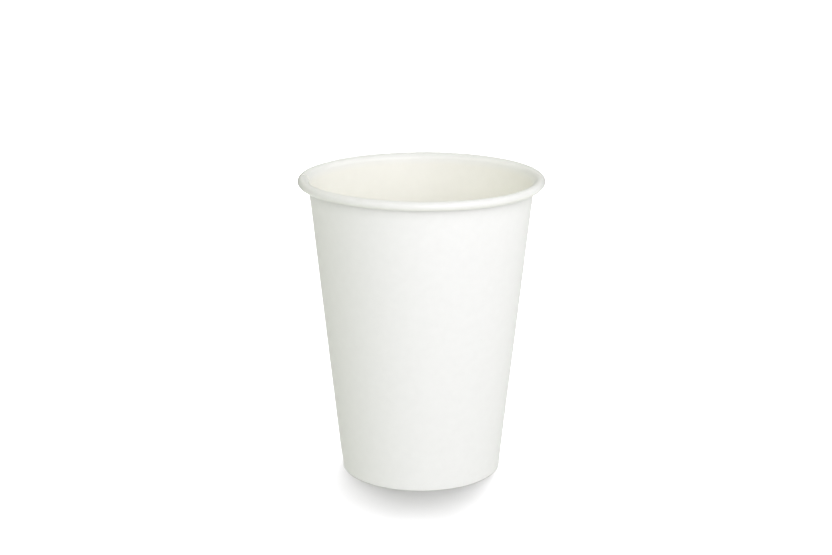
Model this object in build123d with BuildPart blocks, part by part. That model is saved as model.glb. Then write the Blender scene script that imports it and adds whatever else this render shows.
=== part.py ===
"""Single-wall paper cup: a rolled board sidewall with a curled rim, a lapped side
seam and a folded foot, and a flanged bottom disc held in that fold.
Millimetres, +Z up, origin at the middle of the foot on the table."""

import os
from math import atan, cos, pi, sin, tan

from build123d import *

# ---- driving dimensions ----
rim_od = 90.0  # over the rolled rim
cup_h = 111.5  # table to top of the rim
base_od = 59.2  # outside of the wall at the table
wall_top_od = 82.86  # outside of the wall, carried on up to the rim plane
wall_t = 0.40  # board of the sidewall
disc_t = 0.34  # board of the bottom

curl_r = 1.60  # rolled rim: outer half of the roll
curl_flat = 1.00  # rolled rim: flat run on its underside
curl_tail_r = 1.00  # rolled rim: tail turned up inside
curl_tail_end = 150.0  # degrees round the tail's centre where the board ends

hem_h = 7.0  # top edge of the turned-up hem
recess_h = 8.0  # underside of the bottom disc above the table
skirt_gap = 0.40  # lower edge of the skirt above the inside of the fold
foot_r = 0.36  # outside corners of the fold
disc_bend_r = 0.50  # inside of the bend from disc to skirt

lap_w = 6.5  # width of the side seam's overlap
lap_ramp = 2.0  # run over which the outer layer climbs onto the inner one
seam_az = 262.0  # degrees from the front (-Y) round by the right (+X)

# ---- derived ----
base_r, rim_r = base_od / 2, rim_od / 2
taper = (wall_top_od - base_od) / 2 / cup_h
lean = atan(taper)
tw = wall_t / cos(lean)  # board measured along the radius
dw = disc_t / cos(lean)


def r_out(z):
    """Outside of the wall."""
    return base_r + taper * z


def r_in(z):
    """Inside of the wall, and outside of the bottom's skirt."""
    return r_out(z) - tw


def r_skirt(z):
    """Inside of the skirt, and outer face of the hem."""
    return r_in(z) - dw


def r_hem(z):
    """Inner face of the hem."""
    return r_skirt(z) - tw


def on_arc(centre, radius, angle):
    return (centre[0] + radius * cos(angle), centre[1] + radius * sin(angle))


def arc(centre, radius, a0, a1):
    """Arc about a centre from angle a0 to a1, in degrees."""
    a0, a1 = a0 * pi / 180, a1 * pi / 180
    return ThreePointArc(
        on_arc(centre, radius, a0),
        on_arc(centre, radius, (a0 + a1) / 2),
        on_arc(centre, radius, a1),
    )


lean_deg = lean * 180 / pi
roll_c = (rim_r - curl_r, cup_h - curl_r)  # centre of the roll's outer half
# shoulder from the wall into the roll: tangent to both
shoulder_r = (roll_c[0] - r_in(cup_h)) / (cos(lean) - (1 - sin(lean)) * taper)
shoulder_c = (roll_c[0], cup_h - shoulder_r)
shoulder_a = 180 - lean_deg
roll_low = roll_c[1] - curl_r
tail_c = (roll_c[0] - curl_flat, roll_low + curl_tail_r)

foot_out_c = (r_out(foot_r) - foot_r / cos(lean), foot_r)
foot_in_c = (r_hem(foot_r) + foot_r / cos(lean), foot_r)

# ---- sidewall: rolled rim, cone, folded foot ----
with BuildPart() as sidewall:
    with BuildSketch(Plane.XZ):
        with BuildLine():
            # coated face, from the hem's edge to the end of the roll
            Line((r_skirt(hem_h), hem_h), (r_skirt(wall_t), wall_t))
            Line((r_skirt(wall_t), wall_t), (r_in(wall_t), wall_t))
            s1 = arc(shoulder_c, shoulder_r, shoulder_a, 90)
            Line((r_in(wall_t), wall_t), s1 @ 0)
            s2 = arc(roll_c, curl_r, 90, -90)
            s3 = arc(tail_c, curl_tail_r, 270, curl_tail_end)
            Line(s2 @ 1, s3 @ 0)
            # plain face, back from the end of the roll to the hem's edge
            p3 = arc(tail_c, curl_tail_r - wall_t, curl_tail_end, 270)
            Line(s3 @ 1, p3 @ 0)
            p2 = arc(roll_c, curl_r - wall_t, -90, 90)
            Line(p3 @ 1, p2 @ 0)
            p1 = arc(shoulder_c, shoulder_r - wall_t, 90, shoulder_a)
            f1 = arc(foot_out_c, foot_r, -lean_deg, -90)
            Line(p1 @ 1, f1 @ 0)
            f2 = arc(foot_in_c, foot_r, -90, -180 - lean_deg)
            Line(f1 @ 1, f2 @ 0)
            Line(f2 @ 1, (r_hem(hem_h), hem_h))
            Line((r_hem(hem_h), hem_h), (r_skirt(hem_h), hem_h))
        make_face()
    revolve(axis=Axis.Z)

# ---- outer layer of the side seam, made at +X and turned to its place ----
lap_top = roll_low + 0.40  # runs up out of sight behind the roll
with BuildPart() as lap:
    with BuildSketch(Plane.XZ):
        with BuildLine():
            Polyline(
                (r_out(0.10) - 0.15, 0.10),
                (r_out(0.50) + tw, 0.50),
                (r_out(lap_top) + tw, lap_top),
                (r_out(lap_top) - 0.15, lap_top),
                close=True,
            )
        make_face()
    revolve(axis=Axis.Z)
    # cut edge on one side, room for the ramp on the other
    with Locations((rim_od / 2, (lap_ramp + 1.0) / 2, cup_h / 2)):
        Box(rim_od, lap_w + lap_ramp + 1.0, 2 * cup_h, mode=Mode.INTERSECT)
    # ramp, parallel to the cone's side
    with BuildSketch(Plane.XY.offset(-1.0)):
        edge_x = base_r - taper + 0.62 * wall_t
        drop = 0.65 / lap_ramp
        with BuildLine():
            Polyline(
                (edge_x + 1.2 * drop, lap_w / 2 - 1.2),
                (edge_x - (lap_ramp + 2.0) * drop, lap_w / 2 + lap_ramp + 2.0),
                (edge_x + 6, lap_w / 2 + lap_ramp + 2.0),
                (edge_x + 6, lap_w / 2 - 1.2),
                close=True,
            )
        make_face()
    extrude(amount=cup_h + 2, dir=(taper, 0, 1), mode=Mode.SUBTRACT)

with sidewall:
    with Locations(Location((0, 0, 0), (0, 0, seam_az - 90))):
        add(lap.part)

# ---- bottom: flat disc with a skirt pressed against the wall ----
disc_top = recess_h + disc_t
bend_c = (r_skirt(recess_h - disc_bend_r) - disc_bend_r / cos(lean), recess_h - disc_bend_r)
skirt_low = wall_t + skirt_gap
with BuildPart() as bottom_disc:
    with BuildSketch(Plane.XZ):
        with BuildLine():
            b1 = arc(bend_c, disc_bend_r + disc_t, 90, -lean_deg)
            b2 = arc(bend_c, disc_bend_r, -lean_deg, 90)
            Line((0, disc_top), b1 @ 0)
            Line(b1 @ 1, (r_in(skirt_low), skirt_low))
            Line((r_in(skirt_low), skirt_low), (r_skirt(skirt_low), skirt_low))
            Line((r_skirt(skirt_low), skirt_low), b2 @ 0)
            Line(b2 @ 1, (0, recess_h))
            Line((0, recess_h), (0, disc_top))
        make_face()
    revolve(axis=Axis.Z)

# ---- export ----
os.makedirs("parts", exist_ok=True)
sidewall.part.label = "sidewall"
export_step(sidewall.part, "parts/sidewall.step")
bottom_disc.part.label = "bottom_disc"
export_step(bottom_disc.part, "parts/bottom_disc.step")
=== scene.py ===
import math

import bmesh
import bpy
import numpy as np
from mathutils import Matrix, Vector


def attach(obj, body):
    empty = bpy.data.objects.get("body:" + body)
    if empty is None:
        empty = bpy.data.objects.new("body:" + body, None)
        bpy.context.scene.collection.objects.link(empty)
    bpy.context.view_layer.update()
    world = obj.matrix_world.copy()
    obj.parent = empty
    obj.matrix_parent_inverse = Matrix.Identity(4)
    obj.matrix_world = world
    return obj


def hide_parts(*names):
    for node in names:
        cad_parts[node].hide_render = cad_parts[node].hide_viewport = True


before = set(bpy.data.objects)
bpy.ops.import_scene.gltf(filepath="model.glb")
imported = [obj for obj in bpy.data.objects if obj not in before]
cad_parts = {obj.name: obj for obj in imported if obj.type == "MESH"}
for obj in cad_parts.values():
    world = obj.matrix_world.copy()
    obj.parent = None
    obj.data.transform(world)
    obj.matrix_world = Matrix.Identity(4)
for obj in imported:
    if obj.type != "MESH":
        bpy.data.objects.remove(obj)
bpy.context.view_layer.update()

scene = bpy.context.scene
MM = 0.001
PI = math.pi

# --------------------------------------------------------------------------
# sizes of the cup in mm, the same as the frame's
# --------------------------------------------------------------------------
H = 111.5
RIM_R = 45.0
BASE_R = 29.6
TOP_R = 41.43
T = 0.40
DISC_T = 0.34
CURL_R = 1.60
CURL_FLAT = 1.00
TAIL_R = 1.00
TAIL_END = 150.0
HEM_H = 7.0
RECESS = 8.0
SKIRT_LOW = 0.8
BEND_R = 0.50
LAP = 6.5
RAMP = 2.6
SEAM = math.radians(262.0 - 90.0)  # angle from +X
RIBS = 96

TAPER = (TOP_R - BASE_R) / H
LEAN = math.atan(TAPER)
CL, SL = math.cos(LEAN), math.sin(LEAN)
TW, DW = T / CL, DISC_T / CL


def r_out(z):
    return BASE_R + TAPER * z


def r_in(z):
    return r_out(z) - TW


def r_skirt(z):
    return r_in(z) - DW


ROLL_C = (RIM_R - CURL_R, H - CURL_R)
SHOULDER_R = (ROLL_C[0] - r_in(H)) / (CL - (1 - SL) * TAPER)
SHOULDER_C = (ROLL_C[0], H - SHOULDER_R)
ROLL_LOW = ROLL_C[1] - CURL_R
TAIL_C = (ROLL_C[0] - CURL_FLAT, ROLL_LOW + TAIL_R)


def smooth(a, b, x):
    t = np.clip((np.asarray(x, float) - a) / (b - a), 0, 1)
    return t * t * (3 - 2 * t)


def out_of_round(psi, z):
    """How far a hand-sized rolled cone strays from a true circle, in mm of radius."""
    a = smooth(10, 55, z)
    d = 0.05 * np.cos(psi) + 0.11 * np.cos(2 * psi + 0.6) + 0.05 * np.cos(3 * psi + 2.2) + 0.025 * np.cos(5 * psi + 4.1)
    mouth_oval = smooth(98, 108, z) * (0.06 * np.cos(psi) + 0.12 * np.cos(2 * psi))
    return a * d + mouth_oval


def rim_wave(psi, z):
    """Slight unevenness of the rolled rim along its height, in mm."""
    a = smooth(96, 109, z)
    return a * (0.14 * np.cos(2 * psi - 1.815) + 0.03 * np.cos(3 * psi + 0.4) + 0.016 * np.cos(7 * psi + 2.7))


# --------------------------------------------------------------------------
# sidewall: one sheet, followed from the hem's free edge to the end of the roll
# --------------------------------------------------------------------------
def sheet_rows():
    """Coated-face points (r, z), the direction to the plain face, and the run each row belongs to."""
    pts, nrm, run = [], [], []

    def put(p, n, name):
        pts.append(p)
        nrm.append(n)
        run.append(name)

    eps = 0.05
    for z in np.linspace(HEM_H, 0.9, 11):
        put((r_skirt(z), z), (-CL, SL), "hem")
    # fold, corner by corner
    c1 = (r_skirt(T + eps) + eps / CL, T + eps)
    for a in np.linspace(180 - math.degrees(LEAN), 270, 7):
        a = math.radians(a)
        n = (math.cos(a), math.sin(a))
        put((c1[0] + eps * n[0], c1[1] + eps * n[1]), n, "fold")
    c2 = (r_in(T + eps) - eps / CL, T + eps)
    for a in np.linspace(270, 360 - math.degrees(LEAN), 7):
        a = math.radians(a)
        n = (math.cos(a), math.sin(a))
        put((c2[0] + eps * n[0], c2[1] + eps * n[1]), n, "fold")
    top = SHOULDER_C[1] + SHOULDER_R * math.sin(PI - LEAN)
    zs = np.concatenate([
        [1.0, 1.8, 3.0, 4.4, 5.8, 7.0, 7.6, 8.2, 9.0, 10.5],
        np.linspace(13, 100, 23),
        [102.5, 104.5, 106.0, 107.0, 107.7, 108.3],
    ])
    for z in zs:
        if z < top - 0.2:
            put((r_in(z), z), (CL, -SL), "wall")
    for a in np.linspace(180 - math.degrees(LEAN), 90, 12):
        a = math.radians(a)
        n = (math.cos(a), math.sin(a))
        put((SHOULDER_C[0] + SHOULDER_R * n[0], SHOULDER_C[1] + SHOULDER_R * n[1]), (-n[0], -n[1]), "roll")
    for a in np.linspace(90, -90, 21)[1:]:
        a = math.radians(a)
        n = (math.cos(a), math.sin(a))
        put((ROLL_C[0] + CURL_R * n[0], ROLL_C[1] + CURL_R * n[1]), (-n[0], -n[1]), "roll")
    for a in np.linspace(270, TAIL_END, 11):
        a = math.radians(a)
        n = (math.cos(a), math.sin(a))
        put((TAIL_C[0] + TAIL_R * n[0], TAIL_C[1] + TAIL_R * n[1]), (-n[0], -n[1]), "roll")
    return np.array(pts), np.array(nrm), run


def sheet_columns():
    """Places along the sheet, from its inner end round to its outer end.
    Each is an arc length from the seam's middle in mm, at mid radius, and which side it is reached from."""
    rm = 0.5 * (BASE_R + TOP_R)
    full = 2 * PI * rm
    first = list(np.linspace(LAP / 2, -LAP / 2, 9)) + list(np.linspace(-LAP / 2 - 0.35, -LAP / 2 - 2.6, 6))
    last = list(np.linspace(LAP / 2 + RAMP + 0.9, LAP / 2, 13)) + list(np.linspace(LAP / 2 - 0.5, -LAP / 2, 9))
    start = first[-1]
    stop = last[0] - full
    n = 372
    mid = list(np.linspace(start, stop, n + 2)[1:-1])
    cols = first + mid + [a - full for a in last]
    return np.array(cols), rm, full


PRESS_LOW, PRESS_HIGH = (0.9, 6.0), (90.0, 106.5)


def build_sidewall():
    pts, nrm, run = sheet_rows()
    cols, rm, full = sheet_columns()
    nr, nc = len(pts), len(cols)
    z = pts[:, 1]
    on_wall = np.array([n == "wall" for n in run])
    press = np.where(on_wall, smooth(*PRESS_LOW, z) * (1 - smooth(*PRESS_HIGH, z)), 0.0)  # 1 full lap, 0 pressed flat

    near = np.where(cols > -full / 2, cols, cols + full)[:, None] / rm  # angle from the seam at mid radius
    g = 1 + (rm / pts[None, :, 0] - 1) * np.exp(-((near / 0.5) ** 2))
    psi = SEAM + near * g  # nc x nr

    arc = np.where(cols > -full / 2, cols, cols + full)[:, None]
    is_last = (cols < -full / 2)[:, None]
    layer = T * (0.5 + 0.5 * press)[None, :]  # one layer's thickness inside the lap
    gap = 0.008
    # inner end: thinned where pressed, back to full board just past the outer end
    thin = 1 - smooth(LAP / 2 + 0.2, LAP / 2 + 2.4, -arc)
    tau_first = T + (layer - T) * thin
    # outer end: climbs over the inner end and lies on it
    climb = 1 - smooth(LAP / 2, LAP / 2 + RAMP, arc)
    tau_last = T + (layer - gap - T) * climb
    off_last = (layer + gap) * climb
    tau = np.where(is_last, tau_last, tau_first)
    off = np.where(is_last, off_last, 0.0)

    # ribs pressed into the plain face of the hem
    hem = np.array([n == "hem" for n in run])
    band = np.where(hem, smooth(0.9, 1.7, z) * (1 - smooth(5.6, 6.5, z)), 0.0)[None, :]
    ph = (psi * RIBS / (2 * PI)) % 1.0
    wave = smooth(0.12, 0.38, np.abs(ph * 2 - 1))
    rib = 0.17 * band * wave

    def place(depth):
        r = pts[None, :, 0] + depth * nrm[None, :, 0]
        zz = pts[None, :, 1] + depth * nrm[None, :, 1]
        r = r + out_of_round(psi, zz)
        zz = zz + rim_wave(psi, zz)
        return np.stack([r * np.cos(psi), r * np.sin(psi), zz], -1)

    coated = place(off)
    plain = place(off + tau - rib)
    loop = np.concatenate([coated, plain[:, ::-1]], 1)  # nc x 2nr, a closed section at each column
    m = 2 * nr
    verts = loop.reshape(-1, 3) * MM

    faces, mats = [], []
    j = np.arange(m)
    jn = (j + 1) % m
    kind = np.zeros(m, int)  # 0 coated, 1 plain, 2 cut edge
    kind[nr:] = 1
    kind[nr - 1] = 2
    kind[m - 1] = 2
    for i in range(nc - 1):
        a, b = i * m, (i + 1) * m
        faces.extend(zip((a + j).tolist(), (a + jn).tolist(), (b + jn).tolist(), (b + j).tolist()))
        mats.extend(kind.tolist())
    for i, flip in ((0, True), (nc - 1, False)):
        a = i * m
        for k in range(nr - 1):
            q = (a + k, a + k + 1, a + m - 2 - k, a + m - 1 - k)
            faces.append(q[::-1] if flip else q)
            mats.append(2)
    return make_object("cup_wall", verts, faces, mats)


def make_object(name, verts, faces, mats):
    me = bpy.data.meshes.new(name)
    me.from_pydata([tuple(v) for v in verts], [], faces)
    me.polygons.foreach_set("material_index", mats)
    me.validate()
    bm = bmesh.new()
    bm.from_mesh(me)
    bmesh.ops.recalc_face_normals(bm, faces=bm.faces)
    bm.to_mesh(me)
    bm.free()
    me.shade_smooth()
    me.set_sharp_from_angle(angle=math.radians(42))
    ob = bpy.data.objects.new(name, me)
    scene.collection.objects.link(ob)
    return ob


# --------------------------------------------------------------------------
# bottom: disc drawn down into a skirt
# --------------------------------------------------------------------------
def build_bottom():
    nc = 288
    top = RECESS + DISC_T
    bend_z = RECESS - BEND_R
    bend_r = r_skirt(bend_z) - BEND_R / CL
    g = 0.012  # seal film between the skirt and its neighbours
    upper, lower = [], []  # coated top going out and down, plain underside coming back
    for r in [0.0, 2, 5, 9, 13, 17, 20.5, 23.5, 26, 27.6, 28.6]:
        upper.append((r, top))
        lower.append((r, RECESS))
    for a in np.linspace(90, -math.degrees(LEAN), 10):
        a = math.radians(a)
        upper.append((bend_r + (BEND_R + DISC_T - g) * math.cos(a), bend_z + (BEND_R + DISC_T - g * math.cos(a)) * math.sin(a)))
        lower.append((bend_r + (BEND_R + g) * math.cos(a), bend_z + (BEND_R + g * math.cos(a)) * math.sin(a)))
    for z in [6.2, 4.6, 2.6, SKIRT_LOW]:
        upper.append((r_in(z) - g / CL, z))
        lower.append((r_skirt(z) + g / CL, z))
    upper, lower = np.array(upper), np.array(lower)
    psi = np.arange(nc) * 2 * PI / nc
    n = len(upper)

    def place(p):
        r, z = p[None, :, 0], p[None, :, 1]
        ps = psi[:, None]
        rr = np.broadcast_to(r, (nc, n)).copy()
        # slight dome, and small pleats where the board is drawn round the bend
        dome = 0.30 * np.clip(1 - (rr / 27.0) ** 2, 0, 1) * (z > RECESS - 0.05)
        pleat = 0.045 * smooth(25.5, 28.8, rr) * (z > RECESS - 0.9) * np.cos(ps * 64 + 0.8 * np.sin(ps * 5))
        pleat = pleat * (1 - smooth(0, 1, np.clip((bend_z + 0.2 - z) / 0.6, 0, 1)))
        zz = z + dome + pleat * (z > bend_z + 0.1)
        return np.stack([rr * np.cos(ps), rr * np.sin(ps), np.broadcast_to(zz, (nc, n))], -1)

    up, lo = place(upper), place(lower)
    verts = [tuple(up[0, 0]), tuple(lo[0, 0])]
    idx_u = np.zeros((nc, n), int)
    idx_l = np.zeros((nc, n), int)
    idx_l[:, 0] = 1
    for i in range(nc):
        for k in range(1, n):
            idx_u[i, k] = len(verts)
            verts.append(tuple(up[i, k]))
            idx_l[i, k] = len(verts)
            verts.append(tuple(lo[i, k]))
    faces, mats = [], []
    for i in range(nc):
        e = (i + 1) % nc
        faces.append((idx_u[i, 0], idx_u[i, 1], idx_u[e, 1]))
        mats.append(0)
        faces.append((idx_l[i, 0], idx_l[e, 1], idx_l[i, 1]))
        mats.append(1)
        for k in range(1, n - 1):
            faces.append((idx_u[i, k], idx_u[i, k + 1], idx_u[e, k + 1], idx_u[e, k]))
            mats.append(0)
            faces.append((idx_l[i, k], idx_l[e, k], idx_l[e, k + 1], idx_l[i, k + 1]))
            mats.append(1)
        faces.append((idx_u[i, n - 1], idx_l[i, n - 1], idx_l[e, n - 1], idx_u[e, n - 1]))
        mats.append(2)
    faces = [tuple(int(v) for v in f) for f in faces]
    return make_object("cup_bottom", np.array(verts) * MM, faces, mats)


# --------------------------------------------------------------------------
# materials
# --------------------------------------------------------------------------
def node(nt, kind, where=(0, 0), **sets):
    n = nt.nodes.new(kind)
    n.location = where
    for k, v in sets.items():
        setattr(n, k, v)
    return n


def new_material(name):
    m = bpy.data.materials.new(name)
    m.use_nodes = True
    nt = m.node_tree
    bsdf = next(n for n in nt.nodes if n.type == "BSDF_PRINCIPLED")
    tc = node(nt, "ShaderNodeTexCoord", (-1400, 0))
    return m, nt, bsdf, tc.outputs["Object"]


def noise(nt, vec, scale, detail=4.0, rough=0.55, kind="FBM", where=(-1100, 0), distortion=0.0):
    n = node(nt, "ShaderNodeTexNoise", where)
    n.noise_dimensions = "3D"
    n.noise_type = kind
    n.normalize = True
    n.inputs["Scale"].default_value = scale
    n.inputs["Detail"].default_value = detail
    n.inputs["Roughness"].default_value = rough
    n.inputs["Distortion"].default_value = distortion
    nt.links.new(vec, n.inputs["Vector"])
    return n.outputs["Fac"]


def ramp(nt, fac, stops, where=(-700, 0)):
    n = node(nt, "ShaderNodeValToRGB", where)
    el = n.color_ramp.elements
    while len(el) < len(stops):
        el.new(0.5)
    for e, (p, c) in zip(el, stops):
        e.position = p
        e.color = (*c, 1)
    nt.links.new(fac, n.inputs["Fac"])
    return n.outputs["Color"]


def span(nt, val, a, b, c, d, where=(-700, -300)):
    n = node(nt, "ShaderNodeMapRange", where)
    n.inputs["From Min"].default_value = a
    n.inputs["From Max"].default_value = b
    n.inputs["To Min"].default_value = c
    n.inputs["To Max"].default_value = d
    nt.links.new(val, n.inputs["Value"])
    return n.outputs["Result"]


def mul_color(nt, col_a, col_b, fac=1.0, where=(-400, 100)):
    n = node(nt, "ShaderNodeMix", where)
    n.data_type = "RGBA"
    n.blend_type = "MULTIPLY"
    n.inputs["Factor"].default_value = fac
    nt.links.new(col_a, n.inputs["A"])
    nt.links.new(col_b, n.inputs["B"])
    return n.outputs["Result"]


def add_heights(nt, a, b, wb, where=(-500, -600)):
    n = node(nt, "ShaderNodeMath", where)
    n.operation = "MULTIPLY_ADD"
    nt.links.new(b, n.inputs[0])
    n.inputs[1].default_value = wb
    nt.links.new(a, n.inputs[2])
    return n.outputs[0]


def bump(nt, bsdf, height, strength, distance, where=(-250, -500)):
    n = node(nt, "ShaderNodeBump", where)
    n.inputs["Strength"].default_value = strength
    n.inputs["Distance"].default_value = distance
    nt.links.new(height, n.inputs["Height"])
    nt.links.new(n.outputs["Normal"], bsdf.inputs["Normal"])


def grey(v):
    return (v, v, v)


def board_material(name, light, dark, rough=(0.56, 0.70)):
    """Uncoated board: cloudy formation, a felt of fibres and a dull surface."""
    m, nt, bsdf, obj = new_material(name)
    cloud = noise(nt, obj, 320, 4, 0.6, where=(-1100, 300))
    fibre = noise(nt, obj, 1500, 3, 0.6, "RIDGED_MULTIFRACTAL", where=(-1100, 0), distortion=0.9)
    tooth = noise(nt, obj, 5200, 2, 0.5, where=(-1100, -300))
    col = ramp(nt, cloud, [(0.30, dark), (0.70, light)], where=(-750, 300))
    fib = ramp(nt, fibre, [(0.35, grey(1.0)), (0.95, grey(0.955))], where=(-750, 50))
    nt.links.new(mul_color(nt, col, fib, 1.0), bsdf.inputs["Base Color"])
    nt.links.new(span(nt, fibre, 0.2, 0.9, rough[1], rough[0], where=(-750, -200)), bsdf.inputs["Roughness"])
    h = add_heights(nt, fibre, tooth, 0.5)
    bump(nt, bsdf, h, 0.22, 0.00003)
    bsdf.inputs["Specular IOR Level"].default_value = 0.32
    return m


def coated_material(name, light, dark, rough=(0.30, 0.42), rim=None):
    """Board with a thin clear film: warmer, with a soft gloss and a faint orange-peel.
    With rim, the colour changes to the rim colour at the roll, above 107 mm. The inside colour is warmer than the rim
    colour: partly the coat's own tint, partly painted warmth standing in for light bounced to and fro inside the cup."""
    m, nt, bsdf, obj = new_material(name)
    cloud = noise(nt, obj, 260, 4, 0.6, where=(-1100, 300))
    peel = noise(nt, obj, 1100, 3, 0.5, where=(-1100, 0))
    fine = noise(nt, obj, 3600, 2, 0.5, where=(-1100, -300))
    col = ramp(nt, cloud, [(0.30, dark), (0.70, light)], where=(-750, 300))
    # painted light: the inside is coloured warmer than the roll, partly the coat's own tint and partly painted warmth
    # of light bounced inside the cup
    if rim:
        sep = node(nt, "ShaderNodeSeparateXYZ", (-1100, 550))
        nt.links.new(obj, sep.inputs["Vector"])
        up = span(nt, sep.outputs["Z"], 0.1071, 0.1097, 0, 1, where=(-900, 550))
        roll = ramp(nt, cloud, [(0.30, rim[1]), (0.70, rim[0])], where=(-750, 750))
        mix = node(nt, "ShaderNodeMix", (-500, 450), data_type="RGBA")
        nt.links.new(up, mix.inputs["Factor"])
        nt.links.new(col, mix.inputs["A"])
        nt.links.new(roll, mix.inputs["B"])
        col = mix.outputs["Result"]
    fib = ramp(nt, fine, [(0.25, grey(0.985)), (0.75, grey(1.0))], where=(-750, 50))
    nt.links.new(mul_color(nt, col, fib, 1.0), bsdf.inputs["Base Color"])
    nt.links.new(span(nt, peel, 0.3, 0.7, rough[0], rough[1], where=(-750, -200)), bsdf.inputs["Roughness"])
    h = add_heights(nt, peel, fine, 0.35)
    bump(nt, bsdf, h, 0.25, 0.00004)
    bsdf.inputs["Specular IOR Level"].default_value = 0.5
    return m


def edge_material(name):
    """Raw cut edge of the board: darker, layered and fibrous."""
    m, nt, bsdf, obj = new_material(name)
    layers = noise(nt, obj, 6000, 4, 0.7, where=(-1100, 200))
    fibre = noise(nt, obj, 2500, 3, 0.6, "RIDGED_MULTIFRACTAL", where=(-1100, -100))
    col = ramp(nt, layers, [(0.3, (0.76, 0.745, 0.695)), (0.7, (0.87, 0.858, 0.82))], where=(-750, 200))
    fib = ramp(nt, fibre, [(0.3, grey(1.0)), (0.9, grey(0.9))], where=(-750, -50))
    nt.links.new(mul_color(nt, col, fib, 1.0), bsdf.inputs["Base Color"])
    nt.links.new(span(nt, fibre, 0.2, 0.9, 0.85, 0.95, where=(-750, -250)), bsdf.inputs["Roughness"])
    bump(nt, bsdf, layers, 0.5, 0.00005)
    bsdf.inputs["Specular IOR Level"].default_value = 0.2
    return m


# inside colour warmer than the rim colour: partly the coat's own tint, partly painted warmth of light bounced inside
# the cup
wall_coated = coated_material(
    "wall_coated_face", (0.912, 0.905, 0.865), (0.895, 0.888, 0.846), rim=((0.893, 0.897, 0.885), (0.876, 0.880, 0.866))
)
wall_board = board_material("wall_plain_face", (0.890, 0.892, 0.894), (0.870, 0.872, 0.874))
# the coated top's warm colour is partly the coat's own tint, partly painted warmth of light bounced inside the cup
bottom_coated = coated_material("bottom_coated_face", (0.900, 0.893, 0.850), (0.880, 0.872, 0.826), (0.28, 0.40))
bottom_board = board_material("bottom_plain_face", (0.872, 0.870, 0.845), (0.846, 0.843, 0.815))
raw_edge = edge_material("board_cut_edge")

wall = build_sidewall()
for m in (wall_coated, wall_board, raw_edge):
    wall.data.materials.append(m)
bottom = build_bottom()
for m in (bottom_coated, bottom_board, raw_edge):
    bottom.data.materials.append(m)

for ob, cad, slot in ((wall, "sidewall", "wall_board"), (bottom, "bottom_disc", "bottom_board")):
    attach(ob, "root")
    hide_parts(cad)


# --------------------------------------------------------------------------
# floor, light, camera
# --------------------------------------------------------------------------
def build_floor():
    bm = bmesh.new()
    bmesh.ops.create_circle(bm, cap_ends=True, segments=96, radius=30.0)
    me = bpy.data.meshes.new("floor")
    bm.to_mesh(me)
    bm.free()
    ob = bpy.data.objects.new("floor", me)
    scene.collection.objects.link(ob)
    m, nt, bsdf, obj = new_material("floor_white")
    cloud = noise(nt, obj, 60, 3, 0.5, where=(-1100, 200))
    nt.links.new(ramp(nt, cloud, [(0.3, (0.598, 0.592, 0.612)), (0.7, (0.608, 0.602, 0.622))], where=(-750, 200)), bsdf.inputs["Base Color"])
    bsdf.inputs["Roughness"].default_value = 0.9
    bsdf.inputs["Specular IOR Level"].default_value = 0.0
    me.materials.append(m)
    # its glow on the cup comes from the lower half of the surroundings
    ob.visible_diffuse = False
    ob.visible_glossy = False
    ob.visible_shadow = False
    return ob


def build_backdrop():
    """White wall all round, far off: only seen behind the cup in low views, it lights nothing."""
    bm = bmesh.new()
    bmesh.ops.create_cone(bm, cap_ends=False, segments=96, radius1=6.0, radius2=6.0, depth=6.0)
    me = bpy.data.meshes.new("backdrop")
    bm.to_mesh(me)
    bm.free()
    ob = bpy.data.objects.new("backdrop", me)
    scene.collection.objects.link(ob)
    m, nt, bsdf, obj = new_material("backdrop_white")
    cloud = noise(nt, obj, 2, 2, 0.5, where=(-1100, 200))
    nt.links.new(ramp(nt, cloud, [(0.3, grey(0.97)), (0.7, grey(1.0))], where=(-750, 200)), bsdf.inputs["Emission Color"])
    bsdf.inputs["Base Color"].default_value = (0, 0, 0, 1)
    bsdf.inputs["Emission Strength"].default_value = 1.08
    bsdf.inputs["Specular IOR Level"].default_value = 0.0
    me.materials.append(m)
    ob.visible_diffuse = False
    ob.visible_glossy = False
    ob.visible_shadow = False
    return ob


floor = build_floor()
backdrop = build_backdrop()


def only_for(light, *objs):
    c = bpy.data.collections.new(light.name + "_lights")
    for o in objs:
        c.objects.link(o)
    light.light_linking.receiver_collection = c


def aim(ob, target):
    ob.rotation_mode = "QUATERNION"
    ob.rotation_quaternion = (Vector(target) - ob.location).to_track_quat("-Z", "Y")


def area_light(name, azimuth, elevation, distance, size, power, target=(0, 0, 0.06), color=(1, 1, 1)):
    li = bpy.data.lights.new(name, "AREA")
    li.shape = "RECTANGLE"
    li.size, li.size_y = size
    li.energy = power
    li.color = color
    ob = bpy.data.objects.new(name, li)
    scene.collection.objects.link(ob)
    a, e = math.radians(azimuth), math.radians(elevation)
    ob.location = Vector(target) + distance * Vector((math.sin(a) * math.cos(e), -math.cos(a) * math.cos(e), math.sin(e)))
    aim(ob, target)
    return ob


def sun_light(name, azimuth, elevation, strength, angle):
    li = bpy.data.lights.new(name, "SUN")
    li.energy = strength
    li.angle = math.radians(angle)
    ob = bpy.data.objects.new(name, li)
    scene.collection.objects.link(ob)
    a, e = math.radians(azimuth), math.radians(elevation)
    ob.location = 2.0 * Vector((math.sin(a) * math.cos(e), -math.cos(a) * math.cos(e), math.sin(e)))
    aim(ob, (0, 0, 0))
    return ob


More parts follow.
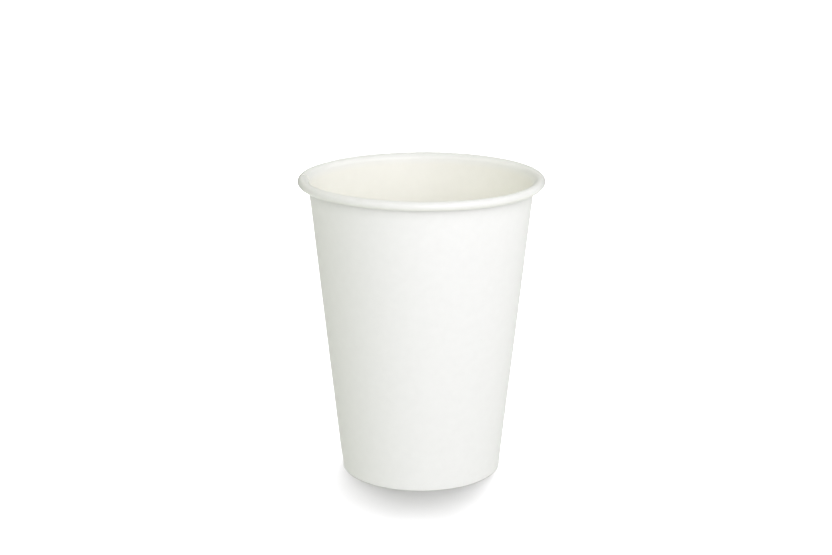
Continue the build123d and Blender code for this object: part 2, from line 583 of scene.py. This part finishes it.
cup = (wall, bottom)
mouth = (0, 0, 0.09)
cool, warm, pale = (0.930, 0.890, 1.0), (1.0, 0.957, 0.850), (0.985, 0.955, 0.985)
for name, azimuth, elevation, power, color in (
    ("key_softbox", 15, 15, 1.149, cool),
    ("high_softbox", 36, 38, 0.721, cool),
    ("right_softbox", 108, 38, 0.321, pale),
    ("left_softbox", 252, 38, 0.293, warm),
    ("edge_softbox", 120, -6, 0.290, pale),
    ("back_softbox", 182, -30, 1.250, cool),
    ("left_edge_softbox", 238, -6, 0.085, cool),
):
    only_for(area_light(name, azimuth, elevation, 0.60, (0.36, 0.36), power, mouth, color), *cup)
for name, azimuth, elevation, strength, angle in (
    ("floor_top", 178, 75.4, 5.96, 48.8),
    ("floor_back", 177.5, 62.9, 2.95, 50.7),
    ("floor_right", 158, 61.5, 1.43, 14),
):
    only_for(sun_light(name, azimuth, elevation, strength, angle), floor)


def build_world(tint):
    """Pale floor glow from below, dark at eye level, a bright ring of panels above it, brighter in front, and dark overhead."""
    w = bpy.data.worlds.new("studio")
    w.use_nodes = True
    nt = w.node_tree
    nt.nodes.clear()
    out = node(nt, "ShaderNodeOutputWorld", (400, 0))
    both = node(nt, "ShaderNodeAddShader", (200, 0))
    nt.links.new(both.outputs["Shader"], out.inputs["Surface"])
    tc = node(nt, "ShaderNodeTexCoord", (-900, 0))
    sep = node(nt, "ShaderNodeSeparateXYZ", (-700, 0))
    nt.links.new(tc.outputs["Generated"], sep.inputs["Vector"])
    up = span(nt, sep.outputs["Z"], -1, 1, 0, 1, where=(-500, 0))
    front = span(nt, sep.outputs["Y"], 1, -1, 0, 1, where=(-500, -300))

    def at(deg):
        return 0.5 + 0.5 * math.sin(math.radians(deg))

    def glow(v):
        return tuple(v * t for t in tint)

    all_round = [(-19, 0.808), (-11, 0.0), (8, 0.0), (16, 0.918), (51, 0.918), (59, 0.0)]
    in_front = [(-19, 0.103), (-11, 0.0), (8, 0.0), (16, 0.841), (22, 0.841), (30, 0.0)]
    for k, stops in enumerate((all_round, in_front)):
        bg = node(nt, "ShaderNodeBackground", (0, -200 * k))
        col = ramp(nt, up, [(at(d), glow(v)) for d, v in stops], where=(-300, -300 * k))
        nt.links.new(col, bg.inputs["Color"])
        bg.inputs["Strength"].default_value = 1.0
        nt.links.new(bg.outputs["Background"], both.inputs[k])
    nt.links.new(front, bg.inputs["Strength"])
    scene.world = w


build_world((0.977, 1.0, 0.907))

# light goes to and fro many times inside a white cup
scene.cycles.max_bounces = 16
scene.cycles.diffuse_bounces = 12

scene.view_settings.view_transform = "Standard"
scene.view_settings.look = "None"
scene.view_settings.exposure = 0.0
scene.view_settings.gamma = 1.0

# camera at the photograph's viewing angle
CAM_EL, CAM_D, CAM_F = math.radians(17.304), 667.6, 1782.8
PITCH, YAW = math.radians(15.412), math.radians(-0.170)
cam = bpy.data.cameras.new("camera")
cam.sensor_fit = "HORIZONTAL"
cam.sensor_width = 36.0
cam.lens = CAM_F * 36.0 / 832.0
cam.clip_start, cam.clip_end = 0.01, 100.0
cam_ob = bpy.data.objects.new("camera", cam)
scene.collection.objects.link(cam_ob)
cam_ob.location = Vector((0.0, -CAM_D * math.cos(CAM_EL), 50.0 + CAM_D * math.sin(CAM_EL))) * MM
look = Vector((math.sin(YAW) * math.cos(PITCH), math.cos(YAW) * math.cos(PITCH), -math.sin(PITCH)))
cam_ob.rotation_mode = "QUATERNION"
cam_ob.rotation_quaternion = look.to_track_quat("-Z", "Y")
scene.camera = cam_ob
